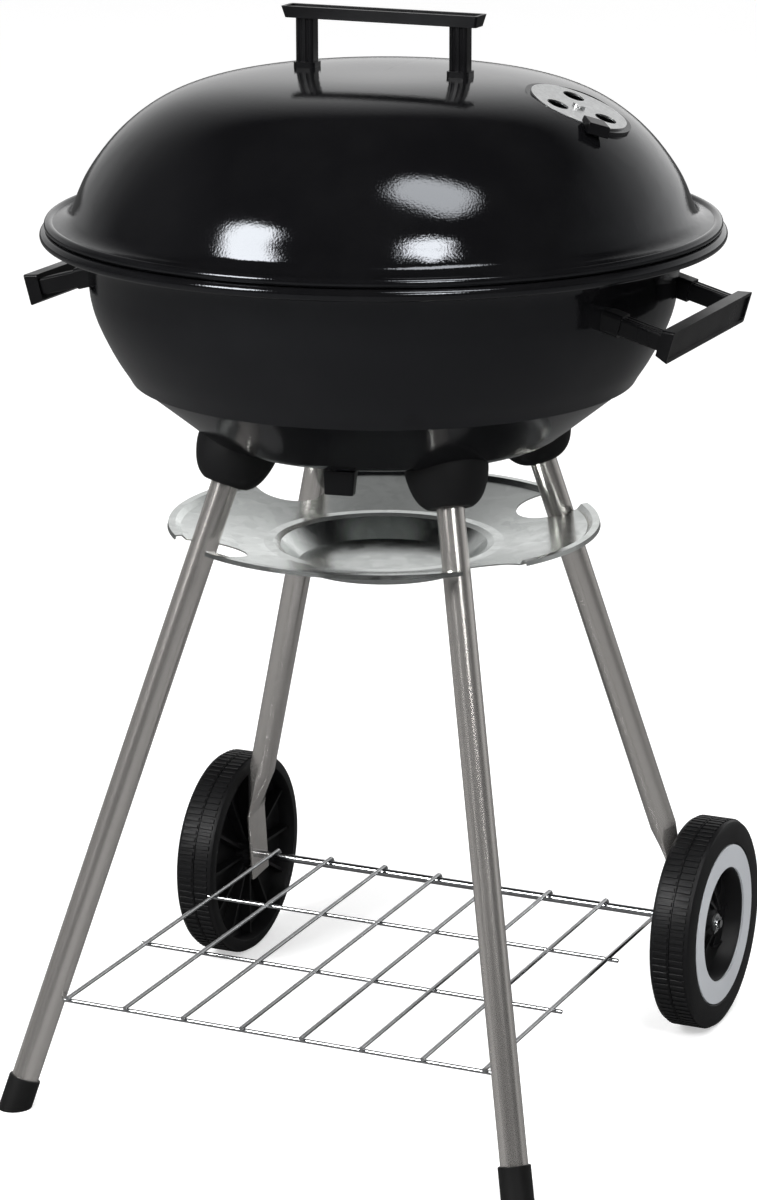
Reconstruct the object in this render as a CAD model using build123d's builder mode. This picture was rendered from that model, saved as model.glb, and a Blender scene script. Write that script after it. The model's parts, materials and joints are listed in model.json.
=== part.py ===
# Kettle charcoal grill: enamelled bowl and lid on four tube legs, two wheels, ash tray, wire shelf.
# All sizes are in millimetres. Origin: on the floor under the bowl's axis. +Z up, wheels at +Y.
from build123d import *
from math import sin, cos, radians, degrees, atan2, sqrt
import os

os.makedirs("parts", exist_ok=True)

# ---------------------------------------------------------------- driving dimensions
sheet = 1.2                # enamelled steel of the bowl and the lid
rim_radius = 235.0         # outside of the bowl's rolled rim
rim_bead_radius = 4.0
rim_z = 601.1              # height of the rolled rim's centre
bowl_base_z = 458.0        # underside of the bowl's flat base
lid_edge_radius = 3.4      # rolled edge of the lid
lid_edge_r = 228.4         # centre of the lid's rolled edge
seat_gap = 0.3             # kept between curved faces of the lid and the bowl
rim_centre_r = rim_radius - rim_bead_radius
lid_edge_rise = sqrt(
    (rim_bead_radius + lid_edge_radius + seat_gap) ** 2 - (rim_centre_r - lid_edge_r) ** 2)
dome_top_z = 709.8

tube_r = 9.5               # leg tube, 19 mm
tube_wall = 1.2
leg_top_z = 446.0          # where the tube stops inside its socket
front_leg_top = Vector(77.4, -69.0, 460.0)
front_leg_foot = Vector(190.3, -205.7, 0.0)
rear_leg_top = Vector(77.2, 76.9, 460.0)
rear_leg_bend = Vector(172.3, 138.8, 116.2)

axle_y = 146.5
axle_z = 77.3              # also the wheel radius
axle_r = 3.0
axle_end_x = 203.5
run_gap = 0.05             # radial clearance of a running fit

vent_count = 3
lid_vent_r = 7.5
lid_vent_pitch_r = 20.0
bowl_vent_r = 9.0
bowl_vent_pitch_r = 36.0
rivet_r = 2.0

shelf_wire_r = 1.5
shelf_pitch = 45.0
shelf_wires = 8


def polar(radius, degrees_, z=0.0):
    return Vector(radius * cos(radians(degrees_)), radius * sin(radians(degrees_)), z)


def mirrored(v, side):
    return Vector(v.X * side, v.Y, v.Z)


def save(builder, name):
    builder.part.label = name
    export_step(builder.part, "parts/" + name + ".step")


# ---------------------------------------------------------------- bowl
def moved_square(points, amount):
    """Points of a wall line that starts on the axis, moved square to it by the sheet."""
    moved = [(0, points[0][1] + amount)]
    for k in range(1, len(points)):
        before = Vector(*points[k - 1])
        after = Vector(*points[min(k + 1, len(points) - 1)])
        along = (after - before).normalized()
        moved.append((points[k][0] - along.Y * amount, points[k][1] + along.X * amount))
    return moved


bowl_points = [
    (0, bowl_base_z), (119, bowl_base_z), (171, 499.5), (174.5, 500.6), (182, 512.5),
    (190, 527), (197, 542.5), (201.5, 560), (203.5, 582), (207, 592), (214, 597.5),
    (229, 599.6),
]
base_fillet = 25.0


def bowl_solid(inset):
    """The bowl filled to its rim; straight up to the pressed crease, then curved."""
    points = moved_square(bowl_points, inset)
    top_z = rim_z + inset
    with BuildPart() as solid:
        with BuildSketch(Plane.YZ):
            with BuildLine() as line:
                Polyline(*points[:4])
                fillet(line.vertices().sort_by(Axis.X)[1], base_fillet - inset)
                Spline(*points[3:], tangents=((0.5, 1), (1, 0.12)))
                Polyline(points[-1], (points[-1][0], top_z), (0, top_z), points[0])
            make_face()
        revolve(axis=Axis.Z)
    return solid.part


bowl_core = bowl_solid(0)  # trims what is fixed against the bowl


def leg_point(top, foot, z):
    return top + (foot - top) * ((z - top.Z) / (foot.Z - top.Z))


def azimuth_at(top, foot, z):
    spot = leg_point(top, foot, z)
    return degrees(atan2(spot.Y, spot.X))


leg_lines = {
    "front_right": (front_leg_top, front_leg_foot),
    "front_left": (mirrored(front_leg_top, -1), mirrored(front_leg_foot, -1)),
    "rear_right": (rear_leg_top, rear_leg_bend),
    "rear_left": (mirrored(rear_leg_top, -1), mirrored(rear_leg_bend, -1)),
}
bolt_r = 3.0
bolt_head_r = 5.0
bolt_bite = 9.0            # depth of a bolt in its socket
bolt_circle_r = 101.0      # the leg bolts go through the flat of the bowl's base
bolt_spots = [
    polar(bolt_circle_r, azimuth_at(top, foot, bowl_base_z)) for top, foot in leg_lines.values()]

# handles: (length, width, thickness) of the grip bar and the posts under it
side_bar = (150.0, 22.0, 9.0)
lid_bar = (145.5, 17.5, 8.0)
side_post = (13.0, 12.0)
lid_post = (13.0, 11.0)
side_post_inset = 4.0
lid_post_x = 57.0
side_tilt = 15.5
side_face_centre = Vector(238.3, 0, 552.8)
lid_bar_top_z = 751.0
screw_r = 2.5
side_post_y = side_bar[0] / 2 - side_post_inset - side_post[0] / 2


def side_handle_plane(side):
    out = Vector(side * cos(radians(side_tilt)), 0, -sin(radians(side_tilt)))
    centre = Vector(side * side_face_centre.X, 0, side_face_centre.Z)
    return Plane(origin=centre, x_dir=(0, 1, 0), z_dir=out)


lid_handle_plane = Plane(origin=(0, 0, lid_bar_top_z), x_dir=(1, 0, 0), z_dir=(0, 0, 1))

with BuildPart() as bowl:
    add(bowl_core)
    add(bowl_solid(sheet), mode=Mode.SUBTRACT)
    with BuildSketch(Plane.YZ):
        with Locations((rim_centre_r, rim_z)):
            Circle(rim_bead_radius)
            Circle(rim_bead_radius - sheet, mode=Mode.SUBTRACT)
    revolve(axis=Axis.Z)
    # three ash vents, the rivet hole and the four leg bolt holes in the flat base
    with BuildSketch(Plane.XY.offset(bowl_base_z)):
        with PolarLocations(bowl_vent_pitch_r, vent_count, start_angle=39):
            Circle(bowl_vent_r)
        Circle(rivet_r)
        with Locations(*[(spot.X, spot.Y) for spot in bolt_spots]):
            Circle(bolt_r)
    extrude(amount=2 * sheet, both=True, mode=Mode.SUBTRACT)
    # screw holes of the side handles
    for side in (-1, 1):
        with BuildSketch(side_handle_plane(side)):
            with Locations((-side_post_y, 0), (side_post_y, 0)):
                Circle(screw_r)
        extrude(amount=-70, mode=Mode.SUBTRACT)

# ---------------------------------------------------------------- lid
damper_azimuth = 3.0
damper_tilt = 21.5
damper_r = 34.0
damper_sheet = 1.2
recess_r = 36.5
recess_drop = 3.1          # floor of the damper seat below the dome's tangent plane
damper_centre_r = 141.0
damper_normal = Vector(
    sin(radians(damper_tilt)) * cos(radians(damper_azimuth)),
    sin(radians(damper_tilt)) * sin(radians(damper_azimuth)),
    cos(radians(damper_tilt)),
)
damper_touch = polar(damper_centre_r, damper_azimuth, 694.9)
damper_out = polar(cos(radians(damper_tilt)), damper_azimuth, -sin(radians(damper_tilt)))
damper_plane = Plane(origin=damper_touch, x_dir=damper_out, z_dir=damper_normal)
seat_plane = damper_plane.offset(-recess_drop)


dome_points = [
    (0, dome_top_z), (89, 706.8), (124.6, 700.5), (150.3, 690.7), (170.1, 677.8),
    (185.4, 663.5), (197, 648.9), (205.1, 635.8), (211.5, 620.6), (214.7, 614.8),
    (220, 611.6), (lid_edge_r, 609.9),
]


def lid_solid(inset):
    """The lid filled down to its rolled edge."""
    points = moved_square(dome_points, -inset)
    low_z = rim_z + lid_edge_rise - inset
    with BuildPart() as solid:
        with BuildSketch(Plane.YZ):
            with BuildLine():
                Spline(*points, tangents=((1, 0), (1, -0.15)))
                Polyline(points[-1], (points[-1][0], low_z), (0, low_z), points[0])
            make_face()
        revolve(axis=Axis.Z)
    return solid.part


lid_core = lid_solid(0)    # trims what is fixed against the lid

seat_depth = 9.0           # how far the seat's wall may reach below or above its floor

# wall of the damper seat where the dome stands higher than the seat's floor
with BuildPart() as seat_rim:
    with BuildSketch(seat_plane.offset(-sheet / 2)):
        Circle(recess_r + sheet)
        Circle(recess_r, mode=Mode.SUBTRACT)
    extrude(amount=seat_depth)
    add(lid_core, mode=Mode.INTERSECT)

# wall of the damper seat where its floor stands above the dome; it ends inside the sheet
with BuildPart() as seat_skirt:
    with BuildSketch(seat_plane.offset(-sheet / 2)):
        Circle(recess_r + sheet)
        Circle(recess_r, mode=Mode.SUBTRACT)
    extrude(amount=-seat_depth)
    add(lid_core.moved(Location((0, 0, -sheet / 2))), mode=Mode.SUBTRACT)

with BuildPart() as lid:
    add(lid_core)
    add(lid_solid(sheet), mode=Mode.SUBTRACT)
    with BuildSketch(Plane.YZ):
        with Locations((lid_edge_r, rim_z + lid_edge_rise)):
            Circle(lid_edge_radius)
            Circle(lid_edge_radius - sheet, mode=Mode.SUBTRACT)
    revolve(axis=Axis.Z)
    # round flat seat for the damper: open the dome above it, then put in its floor and wall
    with BuildSketch(seat_plane):
        Circle(recess_r)
    extrude(amount=seat_depth, both=True, mode=Mode.SUBTRACT)
    with BuildSketch(seat_plane.offset(-sheet)):
        Circle(recess_r + sheet)
    extrude(amount=sheet)
    add(seat_rim.part)
    add(seat_skirt.part)
    with BuildSketch(seat_plane):
        with PolarLocations(lid_vent_pitch_r, vent_count, start_angle=1.5):
            Circle(lid_vent_r)
        Circle(rivet_r)
    extrude(amount=2 * sheet, both=True, mode=Mode.SUBTRACT)
    with BuildSketch(lid_handle_plane):
        with Locations((-lid_post_x, 0), (lid_post_x, 0)):
            Circle(screw_r)
    extrude(amount=-60, mode=Mode.SUBTRACT)


# ---------------------------------------------------------------- handles
screw_start = 24.0         # depth of the screw tips below a handle's outer face


def make_handle(plane, bar, post, post_x, trim):
    """Grip bar with a recessed outer face on two fluted posts that end on the trim solid."""
    length, width, thick = bar
    reach = 62.0
    spots = ((-post_x, 0), (post_x, 0))
    flute_y = post[1] / 2 + 0.6
    flutes = []
    for centre in (-post_x, post_x):
        for across in (-flute_y, flute_y):
            flutes.append((centre - post[0] / 5, across))
            flutes.append((centre + post[0] / 5, across))
    with BuildPart() as handle:
        with BuildSketch(plane):
            RectangleRounded(length, width, 1.5)
        with BuildSketch(plane.offset(-thick)):
            RectangleRounded(length - 4, width - 4, 1.5)
        loft()
        with BuildSketch(plane):
            RectangleRounded(length - 5, width - 5, 1.0)
        extrude(amount=-1.5, mode=Mode.SUBTRACT)
        with BuildSketch(plane.offset(-thick)):
            with Locations(*spots):
                RectangleRounded(post[0], post[1], 2.0)
            with Locations(*flutes):
                Circle(1.5, mode=Mode.SUBTRACT)
        extrude(amount=-reach)
        # a foot pad at the end of each post
        with BuildSketch(plane.offset(-38)):
            with Locations(*spots):
                RectangleRounded(post[0] + 3, post[1] + 3, 3.0)
        extrude(amount=-34)
        add(trim, mode=Mode.SUBTRACT)
        with BuildSketch(plane.offset(-screw_start)):
            with Locations(*spots):
                Circle(screw_r)
        extrude(amount=-reach, mode=Mode.SUBTRACT)
    return handle


lid_handle = make_handle(lid_handle_plane, lid_bar, lid_post, lid_post_x, lid_core)
side_handle_left = make_handle(
    side_handle_plane(-1), side_bar, side_post, side_post_y, bowl_core)
side_handle_right = make_handle(
    side_handle_plane(1), side_bar, side_post, side_post_y, bowl_core)

# screws from inside: the shank stops in the post, the head is trimmed to the inner face
with BuildPart() as side_handle_screws:
    for side in (-1, 1):
        handle_plane = side_handle_plane(side)
        with BuildSketch(handle_plane.offset(-screw_start)):
            with Locations((-side_post_y, 0), (side_post_y, 0)):
                Circle(screw_r)
        extrude(amount=-36)
        with BuildSketch(handle_plane.offset(-48)):
            with Locations((-side_post_y, 0), (side_post_y, 0)):
                Circle(2 * screw_r)
        extrude(amount=-6.4)
    add(bowl.part, mode=Mode.SUBTRACT)
    add(side_handle_left.part, mode=Mode.SUBTRACT)
    add(side_handle_right.part, mode=Mode.SUBTRACT)

with BuildPart() as lid_handle_screws:
    with BuildSketch(lid_handle_plane.offset(-screw_start)):
        with Locations((-lid_post_x, 0), (lid_post_x, 0)):
            Circle(screw_r)
    extrude(amount=-20)
    with BuildSketch(lid_handle_plane.offset(-43)):
        with Locations((-lid_post_x, 0), (lid_post_x, 0)):
            Circle(2 * screw_r)
    extrude(amount=-4)
    add(lid.part, mode=Mode.SUBTRACT)

# ---------------------------------------------------------------- dampers
tab_angle = -54.0          # direction of the lid damper's grip tab, in the disc's plane
tab_width = 10.0
rivet_head_r = 4.5
tab_out = (damper_out * cos(radians(tab_angle))
           + damper_normal.cross(damper_out) * sin(radians(tab_angle)))
tab_plane = Plane(origin=damper_touch, x_dir=tab_out, z_dir=damper_normal)

with BuildPart() as lid_damper:
    with BuildSketch(seat_plane.offset(0.1)):
        Circle(damper_r)
        with PolarLocations(lid_vent_pitch_r, vent_count, start_angle=1.5):
            Circle(lid_vent_r, mode=Mode.SUBTRACT)
        Circle(rivet_r + run_gap, mode=Mode.SUBTRACT)
    extrude(amount=damper_sheet)
    # the tab is a second layer on top of the disc that reaches out over the dome
    with BuildSketch(tab_plane.offset(-recess_drop + 0.1 + damper_sheet / 2)):
        with Locations((37.0, 0)):
            Rectangle(18, tab_width)
    extrude(amount=1.0 + damper_sheet / 2)

with BuildPart() as lid_damper_grip:
    with BuildSketch(Plane(origin=tab_plane.origin, x_dir=tab_plane.x_dir,
                           z_dir=-tab_plane.y_dir)):
        with BuildLine():
            Polyline((32.5, -1.3), (32.5, 2.8), (47.5, 3.4), (50.5, -4.0), (47, -3.7),
                     (38.5, -2.0), (35.5, -1.3), close=True)
        make_face()
    extrude(amount=7.4, both=True)
    fillet(lid_damper_grip.edges().filter_by(lambda e: e.length > 14.5), 0.8)
    add(lid_damper.part, mode=Mode.SUBTRACT)

with BuildPart() as lid_damper_rivet:
    with BuildSketch(seat_plane.offset(-sheet - 1.2)):
        Circle(rivet_head_r)
    extrude(amount=1.2)
    with BuildSketch(seat_plane.offset(-sheet)):
        Circle(rivet_r)
    extrude(amount=sheet + 0.1 + damper_sheet + 0.1)
    with BuildSketch(seat_plane.offset(0.2 + damper_sheet)):
        Circle(rivet_head_r)
    extrude(amount=1.5)

bowl_damper_r = 48.0
lever_azimuth = -81.0
lever_reach = 108.0
lever_plane = Plane.XY.rotated((0, 0, lever_azimuth)).offset(bowl_base_z)

with BuildPart() as bowl_damper:
    with BuildSketch(Plane.XY.offset(bowl_base_z - 0.1)):
        Circle(bowl_damper_r)
        with PolarLocations(bowl_vent_pitch_r, vent_count, start_angle=39):
            Circle(bowl_vent_r, mode=Mode.SUBTRACT)
        Circle(rivet_r + run_gap, mode=Mode.SUBTRACT)
    extrude(amount=-damper_sheet)
    with BuildSketch(lever_plane.offset(-0.1 - damper_sheet)):
        with Locations(((lever_reach + 20) / 2, 0)):
            Rectangle(lever_reach - 20, 14)
    extrude(amount=-1.5)

with BuildPart() as bowl_damper_grip:
    with BuildSketch(lever_plane.offset(-1.0)):
        with Locations((lever_reach, 0)):
            RectangleRounded(11, 22, 2)
    with BuildSketch(lever_plane.offset(-17.0)):
        with Locations((lever_reach + 2, 0)):
            RectangleRounded(9, 20, 2)
    loft()
    add(bowl_damper.part, mode=Mode.SUBTRACT)

with BuildPart() as bowl_damper_rivet:
    with BuildSketch(Plane.XY.offset(bowl_base_z + sheet)):
        Circle(rivet_head_r)
    extrude(amount=1.5)
    with BuildSketch(Plane.XY.offset(bowl_base_z + sheet)):
        Circle(rivet_r)
    extrude(amount=-sheet - 0.1 - damper_sheet - 0.1)
    with BuildSketch(Plane.XY.offset(bowl_base_z - 0.2 - damper_sheet)):
        Circle(rivet_head_r)
    extrude(amount=-1.5)

# ---------------------------------------------------------------- grates
grate_bracket_azimuths = (45, 135, 225, 315)
cooking_grate_z = 575.8    # centre of the outer ring, a hair above its brackets
cooking_ring_r = 194.5
ring_wire_r = 2.5
charcoal_grate_z = 502.5   # its ring hangs in the bowl where the wall narrows to it
charcoal_ring_r = 168.0

with BuildPart() as grate_brackets:
    for azimuth in grate_bracket_azimuths:
        with BuildSketch(Plane.XZ.rotated((0, 0, azimuth))):
            with BuildLine():
                Polyline((190, 573), (204, 573), (204, 556), (200, 556), (200, 571.4),
                         (190, 571.4), close=True)
            make_face()
        extrude(amount=8, both=True)
    add(bowl_core, mode=Mode.INTERSECT)
    add(bowl.part, mode=Mode.SUBTRACT)


def wire_grate(ring_r, ring_z, pitch, bar_r, cross_y, cross_half):
    """Round grate: parallel bars along Y and an outer ring, with two cross bars under them."""
    count = int(2 * (ring_r - 4) / pitch) + 1
    cross_z = 0.6 - 2 * bar_r
    with BuildPart() as grate:
        with BuildSketch(Plane.XZ.offset(-ring_r)):
            with GridLocations(pitch, 0, count, 1):
                Circle(bar_r)
        extrude(amount=2 * ring_r)
        Cylinder(ring_r, 4 * bar_r, mode=Mode.INTERSECT)
        with BuildSketch(Plane.YZ.offset(-cross_half)):
            with Locations((-cross_y, cross_z), (cross_y, cross_z)):
                Circle(bar_r)
        extrude(amount=2 * cross_half)
        Torus(ring_r, ring_wire_r)
    return grate.part.moved(Location((0, 0, ring_z)))


with BuildPart() as cooking_grate:
    add(wire_grate(cooking_ring_r, cooking_grate_z, 15.0, 2.0, 90.0, 169.0))

with BuildPart() as charcoal_grate:
    add(wire_grate(charcoal_ring_r, charcoal_grate_z, 28.0, 2.5, 75.0, 142.0))

# ---------------------------------------------------------------- legs, sockets and feet
socket_end_z = 431.0
cap_r = 11.2
cap_height = 21.0
tray_z = 391.0             # where the legs pass through the tray's sloping part
tray_twist_open = 8.0      # how far each tray notch is turned past its leg
notch_half = 25.0
notch_r = 133.0
tray_sheet = 1.0
slot_depth = 4.6           # how far a tray slot cuts into the leg's clockwise side
slot_gap = 0.5             # room above and below the tray's sheet in its slot
slot_in_r = 112.0
slot_out_r = 150.0


def tray_top(radius):
    """Height of the tray's sloping part at a radius."""
    return 381.0 + (radius - 84.0) * 11.8 / 58.0


tab_thick = 2.8            # the rear tube's flattened end
tab_wide = 27.0
tab_x = 172.4
tab_top_y = 140.5
tab_top_z = 114.0
tab_end_z = 62.0
flat_start_z = 152.0
front_wire_z = 76.5        # the shelf's front wire, held by the front legs
front_wire_y = leg_point(front_leg_top, front_leg_foot, front_wire_z).Y
front_wire_x = leg_point(front_leg_top, front_leg_foot, front_wire_z).X
foot_low_z = 6.6           # lowest point of the front tubes' axis, inside the caps
leg_screw_z = 440.5
leg_screw_r = 1.75
leg_screw_head_r = 3.6
screw_pocket = 18.5        # distance from the leg's axis to the flat under a screw head


def leg_plane(top, foot, z):
    """Plane across the leg at height z, looking up the leg."""
    return Plane(origin=leg_point(top, foot, z), x_dir=(1, 0, 0), z_dir=top - foot)


def span(top, foot, low_z, high_z):
    return (leg_point(top, foot, high_z) - leg_point(top, foot, low_z)).length


def screw_plane(top, foot):
    """Plane through the leg's axis at a socket screw, looking out towards the bowl's axis."""
    along = (top - foot).normalized()
    centre = leg_point(top, foot, leg_screw_z)
    inward = Vector(-centre.X, -centre.Y, 0)
    return Plane(origin=centre, z_dir=inward - along * inward.dot(along))


def make_leg(top, foot, low_z, is_rear):
    azimuth = azimuth_at(top, foot, tray_z)
    side = 1 if top.X > 0 else -1
    with BuildPart() as leg:
        with BuildSketch(leg_plane(top, foot, low_z)):
            Circle(tube_r)
            Circle(tube_r - tube_wall, mode=Mode.SUBTRACT)
        extrude(amount=span(top, foot, low_z, leg_top_z))
        # saw slot on the clockwise side that holds the tray's edge
        slot_start = azimuth - degrees((tube_r + 2) / notch_r)
        with BuildSketch(Plane.XZ.rotated((0, 0, slot_start))):
            with BuildLine():
                Polyline(
                    (slot_in_r, tray_top(slot_in_r) - tray_sheet - slot_gap),
                    (slot_out_r, tray_top(slot_out_r) - tray_sheet - slot_gap),
                    (slot_out_r, tray_top(slot_out_r) + slot_gap),
                    (slot_in_r, tray_top(slot_in_r) + slot_gap), close=True)
            make_face()
        revolve(axis=Axis.Z, revolution_arc=degrees((slot_depth + 2) / notch_r),
                mode=Mode.SUBTRACT)
        # hole for the screw that holds the tube in its socket
        with BuildSketch(screw_plane(top, foot)):
            Circle(leg_screw_r)
        extrude(amount=tube_r + 1, mode=Mode.SUBTRACT)
        if is_rear:
            # the tube is pressed flat and bent upright to carry the axle
            tab_plane_ = Plane(origin=(side * tab_x, tab_top_y, tab_top_z), x_dir=(0, 1, 0),
                               z_dir=(0, -0.12, 1))
            with BuildSketch(leg_plane(top, foot, low_z)):
                Circle(tube_r)
            with BuildSketch(tab_plane_):
                RectangleRounded(tab_wide, tab_thick, 1.2)
            loft()
            with BuildSketch(tab_plane_):
                RectangleRounded(tab_wide, tab_thick, 1.2)
            extrude(amount=tab_end_z - tab_top_z)
            with Locations(Location((side * tab_x, axle_y, axle_z), (0, 90, 0))):
                Cylinder(axle_r, 4 * tab_thick, mode=Mode.SUBTRACT)
        else:
            # the shelf's front wire ends in a hole in the tube's inner side
            with Locations(Location((side * (front_wire_x - tube_r), front_wire_y, front_wire_z),
                                    (0, 90, 0))):
                Cylinder(shelf_wire_r, 2 * tube_r, mode=Mode.SUBTRACT)
    return leg


front_leg_right = make_leg(*leg_lines["front_right"], foot_low_z, False)
front_leg_left = make_leg(*leg_lines["front_left"], foot_low_z, False)
rear_leg_right = make_leg(*leg_lines["rear_right"], flat_start_z, True)
rear_leg_left = make_leg(*leg_lines["rear_left"], flat_start_z, True)


def make_socket(place):
    """Cup under the bowl, turned about the leg's own axis."""
    top, foot = leg_lines[place]
    base = leg_plane(top, foot, socket_end_z)
    section = Plane(origin=base.origin, x_dir=base.x_dir, z_dir=base.y_dir)
    with BuildPart() as socket:
        with BuildSketch(section):
            with BuildLine():
                side_wall = Spline((15.5, 0), (23.5, -8.5), (27.5, -20), (28.5, -42),
                                   tangents=((1, -0.55), (0.02, -1)))
                Polyline(side_wall @ 1, (0, -42), (0, 0), side_wall @ 0)
            make_face()
        revolve(axis=Axis(base.origin, base.z_dir))
        add(bowl_core, mode=Mode.SUBTRACT)
        with BuildSketch(base.offset(-1)):
            Circle(tube_r)
        extrude(amount=span(top, foot, socket_end_z, leg_top_z) + 1, mode=Mode.SUBTRACT)
        spot = bolt_spots[list(leg_lines).index(place)]
        with BuildSketch(Plane.XY.offset(bowl_base_z + 1)):
            with Locations((spot.X, spot.Y)):
                Circle(bolt_r)
        extrude(amount=-bolt_bite - 1, mode=Mode.SUBTRACT)
        # screw hole, with a flat pocket for the head
        with BuildSketch(screw_plane(top, foot)):
            Circle(leg_screw_r)
        extrude(amount=screw_pocket + 1, mode=Mode.SUBTRACT)
        with BuildSketch(screw_plane(top, foot).offset(screw_pocket)):
            Circle(leg_screw_head_r + 0.6)
        extrude(amount=12, mode=Mode.SUBTRACT)
    return socket


leg_socket_front_left = make_socket("front_left")
leg_socket_rear_left = make_socket("rear_left")

with BuildPart() as leg_socket_front_right:
    add(mirror(leg_socket_front_left.part, about=Plane.YZ))

with BuildPart() as leg_socket_rear_right:
    add(mirror(leg_socket_rear_left.part, about=Plane.YZ))

with BuildPart() as leg_screws:
    for top, foot in leg_lines.values():
        facing = screw_plane(top, foot)
        with BuildSketch(facing.offset(tube_r - tube_wall - 2)):
            Circle(leg_screw_r)
        extrude(amount=screw_pocket - tube_r + tube_wall + 2)
        with BuildSketch(facing.offset(screw_pocket)):
            Circle(leg_screw_head_r)
        extrude(amount=2.4, taper=20)

with BuildPart() as leg_bolts:
    for spot in bolt_spots:
        with BuildSketch(Plane.XY.offset(bowl_base_z - bolt_bite)):
            with Locations((spot.X, spot.Y)):
                Circle(bolt_r)
        extrude(amount=bolt_bite + sheet + 1)
        with BuildSketch(Plane.XY.offset(bowl_base_z + sheet)):
            with Locations((spot.X, spot.Y)):
                Circle(bolt_head_r)
        extrude(amount=3.2)


def make_cap(top, foot):
    low = leg_plane(top, foot, -6)
    with BuildPart() as cap:
        with BuildSketch(low):
            Circle(cap_r)
        extrude(amount=span(top, foot, -6, cap_height))
        top_edge = cap.edges().filter_by(GeomType.CIRCLE).sort_by(Axis.Z)[-1]
        fillet(top_edge, 0.8)
        with BuildSketch(Plane.XY):
            Rectangle(600, 600)
        extrude(amount=-30, mode=Mode.SUBTRACT)
        with BuildSketch(leg_plane(top, foot, foot_low_z)):
            Circle(tube_r)
        extrude(amount=40, mode=Mode.SUBTRACT)
    return cap


foot_cap_right = make_cap(*leg_lines["front_right"])
foot_cap_left = make_cap(*leg_lines["front_left"])

# ---------------------------------------------------------------- ash tray
with BuildPart() as ash_tray:
    with BuildSketch(Plane.XZ):
        with BuildLine() as tray_line:
            Polyline((0, 366), (60, 366), (72.5, 379.2), (77, 380.8), (84, tray_top(84)),
                     (142, tray_top(142)), (145.5, 396.3), (150.5, 396.5), (151.2, 393.5))
            offset(amount=tray_sheet, side=Side.RIGHT, closed=True)
        make_face()
    revolve(axis=Axis.Z)
    for top, foot in leg_lines.values():
        notch_azimuth = azimuth_at(top, foot, tray_z) + tray_twist_open
        with BuildSketch(Plane.XY.rotated((0, 0, notch_azimuth)).offset(360)):
            with Locations((notch_r, 0)):
                Circle(notch_half)
            with Locations((notch_r + 20, 0)):
                Rectangle(40, 2 * notch_half)
        extrude(amount=50, mode=Mode.SUBTRACT)

# ---------------------------------------------------------------- shelf, axle and wheels
hook_r = axle_r + shelf_wire_r
cross_drop = 2 * shelf_wire_r - 0.4    # welded, so the wires sink into each other a little
shelf_slope = Plane(
    origin=(0, axle_y, axle_z + hook_r), x_dir=(1, 0, 0),
    z_dir=Vector(0, -(axle_z + hook_r - front_wire_z - cross_drop), axle_y - front_wire_y))
shelf_front = -(axle_y - front_wire_y) - 3.5

with BuildPart() as wire_shelf:
    for k in range(shelf_wires):
        x = (k - (shelf_wires - 1) / 2) * shelf_pitch
        with BuildLine(Plane(origin=shelf_slope.origin + Vector(x, 0, 0), x_dir=(0, 1, 0),
                             z_dir=(1, 0, 0))) as wire_path:
            slope = (axle_z + hook_r - front_wire_z - cross_drop) / (axle_y - front_wire_y)
            run = Line((shelf_front, shelf_front * slope), (0, 0))
            JernArc(run @ 1, (1, slope), hook_r, -100)
        with BuildSketch(Plane(origin=wire_path.line @ 0, z_dir=wire_path.line % 0)):
            Circle(shelf_wire_r)
        sweep()
    for y, half in ((front_wire_y, front_wire_x), (-64, 163.5), (42, 163.5)):
        z = axle_z + hook_r - cross_drop + (y - axle_y) * slope
        with Locations(Location((0, y, z), (0, 90, 0))):
            Cylinder(shelf_wire_r, 2 * half)

with BuildPart() as axle:
    with Locations(Location((0, axle_y, axle_z), (0, 90, 0))):
        Cylinder(axle_r, 2 * axle_end_x)

wheel_r = axle_z
wheel_in_x = 175.6
wheel_out_x = 206.1
trim_in_r = 42.3
trim_out_r = 59.0
spokes = 8


def make_wheel(side):
    with BuildPart() as wheel:
        with BuildSketch(Plane.XY):
            with BuildLine():
                Polyline(
                    (wheel_in_x, 68), (wheel_in_x, 74.5), (178.6, wheel_r), (203.1, wheel_r),
                    (wheel_out_x, 74.5), (wheel_out_x, 60.5), (204.6, trim_out_r),
                    (204.6, 40.5), (192.5, 38.5), (192.5, 12.5), (198.5, 11.5),
                    (198.5, axle_r + run_gap), (wheel_in_x, axle_r + run_gap),
                    (wheel_in_x, 11), (190, 12.5), (190, 64), (178, 66.5), close=True)
            make_face()
        revolve(axis=Axis.X)
        with BuildSketch(Plane.YZ.offset(192)):
            with PolarLocations(25.5, spokes):
                Rectangle(29, 3.0)
        extrude(amount=8)
        with BuildSketch(Plane.YZ.offset(191)):
            with PolarLocations(38.5, 12):
                Rectangle(54, 2.5)
        extrude(amount=-9)
    placed = wheel.part.moved(Location((0, axle_y, axle_z)))
    if side < 0:
        placed = mirror(placed, about=Plane.YZ)
    return placed


with BuildPart() as wheel_right:
    add(make_wheel(1))

with BuildPart() as wheel_left:
    add(make_wheel(-1))

trims = {}
for side, side_name in ((-1, "left"), (1, "right")):
    with BuildPart() as wheel_trim:
        with Locations(Location((side * 205.3, axle_y, axle_z), (0, 90, 0))):
            Cylinder(trim_out_r - 0.2, 1.4)
            Cylinder(trim_in_r, 1.4, mode=Mode.SUBTRACT)
    trims[side_name] = wheel_trim

with BuildPart() as axle_washers:
    for side in (-1, 1):
        for x, thick in ((174.6, 1.6), (199.4, 1.4)):
            with Locations(Location((side * x, axle_y, axle_z), (0, 90, 0))):
                Cylinder(7.0, thick)
                Cylinder(axle_r, thick, mode=Mode.SUBTRACT)

with BuildPart() as axle_clips:
    for side in (-1, 1):
        with Locations(Location((side * 201.2, axle_y, axle_z), (0, 90, 0))):
            Cylinder(5.5, 2.0)
            Cylinder(axle_r, 2.0, mode=Mode.SUBTRACT)

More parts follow.
